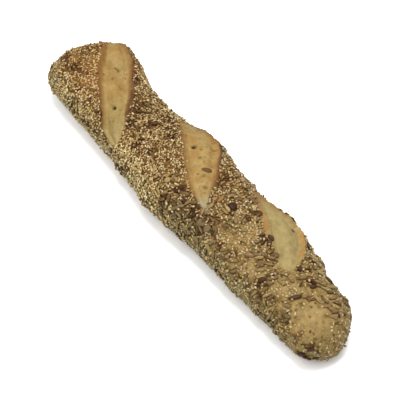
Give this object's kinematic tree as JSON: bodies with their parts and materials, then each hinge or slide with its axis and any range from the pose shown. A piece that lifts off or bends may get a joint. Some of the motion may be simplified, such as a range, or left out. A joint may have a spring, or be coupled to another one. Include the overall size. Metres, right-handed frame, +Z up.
{
  "type": "seeded baguette",
  "caption": "Short crusty bread stick with a seeded, browned crust, a flat sole and diagonal slashes opened across its rounded top.",
  "frame": {"origin": "on the sole's plane, under the middle of the loaf's bounding box", "axes": "+X along the loaf from its broad blunt end to its narrower rounded end, +Y across the loaf to the side where the slashes start, +Z up from the flat sole"},
  "size_m": [0.413, 0.0902, 0.067],
  "materials": {
    "crust": "dry baked wheat crust, golden tan in the open slashes and browner along their edges",
    "sesame": "toasted sesame seed, satin",
    "sunflower": "toasted sunflower kernel, grey-brown, satin",
    "linseed": "dark brown linseed and other dark seeds, slightly glossy"
  },
  "bodies": {
    "root": {"loaf": "crust"}
  },
  "joints": []
}
